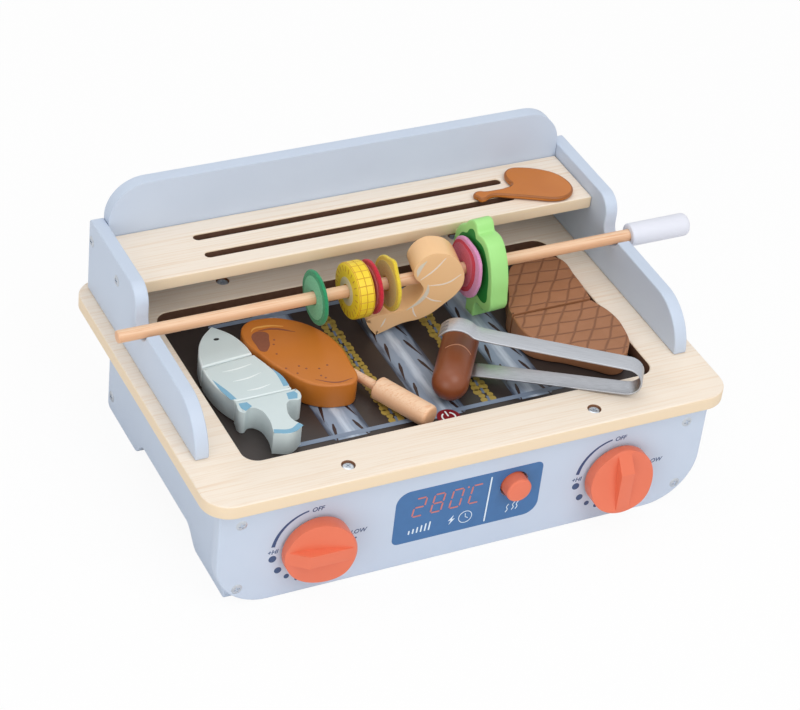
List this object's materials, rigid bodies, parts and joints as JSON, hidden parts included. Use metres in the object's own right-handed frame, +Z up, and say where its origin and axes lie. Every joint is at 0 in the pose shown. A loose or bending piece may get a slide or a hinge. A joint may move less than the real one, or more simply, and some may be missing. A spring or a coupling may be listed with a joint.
{
  "type": "toy barbecue grill",
  "caption": "Wooden tabletop play grill with turning knobs, a push button, a slotted shelf, a lift-off skewer of food, tongs and loose play food.",
  "frame": {"origin": "middle of the whole set's box, on the surface that the grill stands on", "axes": "+X to the right of the control panel, +Y away from the player, +Z up"},
  "size_m": [0.4532, 0.2746, 0.1903],
  "materials": {
    "blue_grey_paint": "satin water-based paint on plywood",
    "beech_ply": "clear matt varnish on pale plywood",
    "burner_print": "dark printed hardboard, semi-gloss",
    "coral_paint": "satin coral paint on turned beech",
    "zinc_steel": "bright zinc plate",
    "strap_steel": "brushed strip, deburred edges",
    "nylon": "moulded, natural white",
    "turned_beech": "sanded turned dowel",
    "white_paint": "satin white paint on turned beech",
    "fish_paint": "satin pale blue paint on cut board",
    "roast_paint": "satin roast-brown paint on cut board",
    "steak_paint": "satin brown paint on cut board",
    "sausage_paint": "satin dark brown paint on turned beech",
    "broccoli_paint": "satin light green paint on cut board",
    "shrimp_paint": "satin orange paint on cut board",
    "corn_paint": "satin yellow paint on turned beech",
    "green_felt": "pressed felt",
    "red_felt": "pressed felt",
    "yellow_felt": "pressed felt",
    "pink_felt": "pressed felt"
  },
  "bodies": {
    "grill": {"top_board": "beech_ply", "front_panel": "blue_grey_paint", "rear_panel": "blue_grey_paint", "left_side_panel": "blue_grey_paint", "right_side_panel": "blue_grey_paint", "burner_board": "burner_print", "left_bracket": "blue_grey_paint", "right_bracket": "blue_grey_paint", "shelf": "beech_ply", "splash_back": "blue_grey_paint", "button_housing": "nylon", "button_spring": "zinc_steel", "left_upper_panel_screw": "zinc_steel", "left_lower_panel_screw": "zinc_steel", "right_upper_panel_screw": "zinc_steel", "right_lower_panel_screw": "zinc_steel", "left_front_board_screw": "zinc_steel", "left_rear_board_screw": "zinc_steel", "right_front_board_screw": "zinc_steel", "right_rear_board_screw": "zinc_steel", "left_rear_panel_screw": "zinc_steel", "right_rear_panel_screw": "zinc_steel", "left_shelf_screw": "zinc_steel", "right_shelf_screw": "zinc_steel", "left_splash_screw": "zinc_steel", "right_splash_screw": "zinc_steel", "left_front_bracket_bolt": "zinc_steel", "left_rear_bracket_bolt": "zinc_steel", "right_front_bracket_bolt": "zinc_steel", "right_rear_bracket_bolt": "zinc_steel", "left_front_barrel_nut": "zinc_steel", "left_rear_barrel_nut": "zinc_steel", "right_front_barrel_nut": "zinc_steel", "right_rear_barrel_nut": "zinc_steel"},
    "left_knob": {"left_knob": "coral_paint", "left_knob_screw": "zinc_steel"},
    "right_knob": {"right_knob": "coral_paint", "right_knob_screw": "zinc_steel"},
    "button": {"push_button": "coral_paint"},
    "skewer": {"skewer_stick": "turned_beech", "skewer_handle": "white_paint"},
    "cucumber": {"cucumber_slice": "green_felt"},
    "corn": {"corn_slice": "corn_paint"},
    "tomato": {"tomato_slice": "red_felt"},
    "lemon": {"lemon_slice": "yellow_felt"},
    "shrimp": {"shrimp": "shrimp_paint"},
    "ham": {"ham_slice": "pink_felt"},
    "broccoli": {"broccoli": "broccoli_paint"},
    "fish_head": {"fish_head": "fish_paint"},
    "fish_body": {"fish_body": "fish_paint"},
    "fish_tail": {"fish_tail": "fish_paint"},
    "chicken": {"chicken_meat": "roast_paint", "chicken_bone": "turned_beech"},
    "steak_back": {"steak_back": "steak_paint"},
    "steak_front": {"steak_front": "steak_paint"},
    "drumstick": {"drumstick": "roast_paint"},
    "tongs": {"tongs_lower_arm": "strap_steel"},
    "tongs_upper": {"tongs_upper_arm": "strap_steel"},
    "sausage": {"sausage": "sausage_paint"}
  },
  "joints": [
    {"name": "left_knob_turn", "type": "hinge", "parent": "grill", "child": "left_knob", "pos_m": [-0.13625, -0.1208, 0.0415], "axis": [0, -1, 0], "continuous": true},
    {"name": "right_knob_turn", "type": "hinge", "parent": "grill", "child": "right_knob", "pos_m": [0.09815, -0.1208, 0.0415], "axis": [0, -1, 0], "continuous": true},
    {"name": "button_press", "type": "slide", "parent": "grill", "child": "button", "axis": [0, 1, 0], "range_m": [0, 0.003], "stiffness_N_per_m": 300, "springref_m": -0.002, "deforming": ["button_spring"]},
    {"name": "skewer_lift", "type": "slide", "parent": "grill", "child": "skewer", "axis": [0, 0, 1], "range_m": [0, 0.12]},
    {"name": "cucumber_slide", "type": "slide", "parent": "skewer", "child": "cucumber", "axis": [1, 0, 0], "range_m": [-0.11, 0.0112]},
    {"name": "corn_slide", "type": "slide", "parent": "skewer", "child": "corn", "axis": [1, 0, 0], "range_m": [-0.0112, 0.0017]},
    {"name": "tomato_slide", "type": "slide", "parent": "skewer", "child": "tomato", "axis": [1, 0, 0], "range_m": [-0.0017, 0.0052]},
    {"name": "lemon_slide", "type": "slide", "parent": "skewer", "child": "lemon", "axis": [1, 0, 0], "range_m": [-0.0052, 0.0074]},
    {"name": "shrimp_slide", "type": "slide", "parent": "skewer", "child": "shrimp", "axis": [1, 0, 0], "range_m": [-0.0074, 0.0014]},
    {"name": "ham_slide", "type": "slide", "parent": "skewer", "child": "ham", "axis": [1, 0, 0], "range_m": [-0.0014, 0.0005]},
    {"name": "broccoli_slide", "type": "slide", "parent": "skewer", "child": "broccoli", "axis": [1, 0, 0], "range_m": [-0.0005, 0.01]},
    {"name": "fish_head_lift", "type": "slide", "parent": "grill", "child": "fish_head", "axis": [0, 0, 1], "range_m": [0, 0.06]},
    {"name": "fish_body_lift", "type": "slide", "parent": "grill", "child": "fish_body", "axis": [0, 0, 1], "range_m": [0, 0.08]},
    {"name": "fish_tail_lift", "type": "slide", "parent": "grill", "child": "fish_tail", "axis": [0, 0, 1], "range_m": [0, 0.08]},
    {"name": "chicken_lift", "type": "slide", "parent": "grill", "child": "chicken", "axis": [0, 0, 1], "range_m": [0, 0.06]},
    {"name": "steak_back_lift", "type": "slide", "parent": "grill", "child": "steak_back", "axis": [0, 0, 1], "range_m": [0, 0.06]},
    {"name": "steak_front_lift", "type": "slide", "parent": "grill", "child": "steak_front", "axis": [0, 0, 1], "range_m": [0, 0.08]},
    {"name": "drumstick_lift", "type": "slide", "parent": "grill", "child": "drumstick", "axis": [0, 0, 1], "range_m": [0, 0.08]},
    {"name": "tongs_lift", "type": "slide", "parent": "grill", "child": "tongs", "axis": [0, 0, 1], "range_m": [0, 0.08]},
    {"name": "tongs_squeeze", "type": "hinge", "parent": "tongs", "child": "tongs_upper", "pos_m": [0.10096, -0.10966, 0.11446], "axis": [-0.5721, -0.8201, 0], "range_deg": [0, 5.5], "stiffness_Nm_per_rad": 2, "springref_deg": -2.86},
    {"name": "sausage_slide", "type": "slide", "parent": "tongs", "child": "sausage", "axis": [-0.5721, -0.8201, 0], "range_m": [0, 0.01]}
  ],
  "couplings": [
    {"joint": "fish_head_lift", "follows": "skewer_lift", "ratio": 0.5},
    {"joint": "chicken_lift", "follows": "skewer_lift", "ratio": 0.5},
    {"joint": "steak_back_lift", "follows": "skewer_lift", "ratio": 0.5}
  ]
}
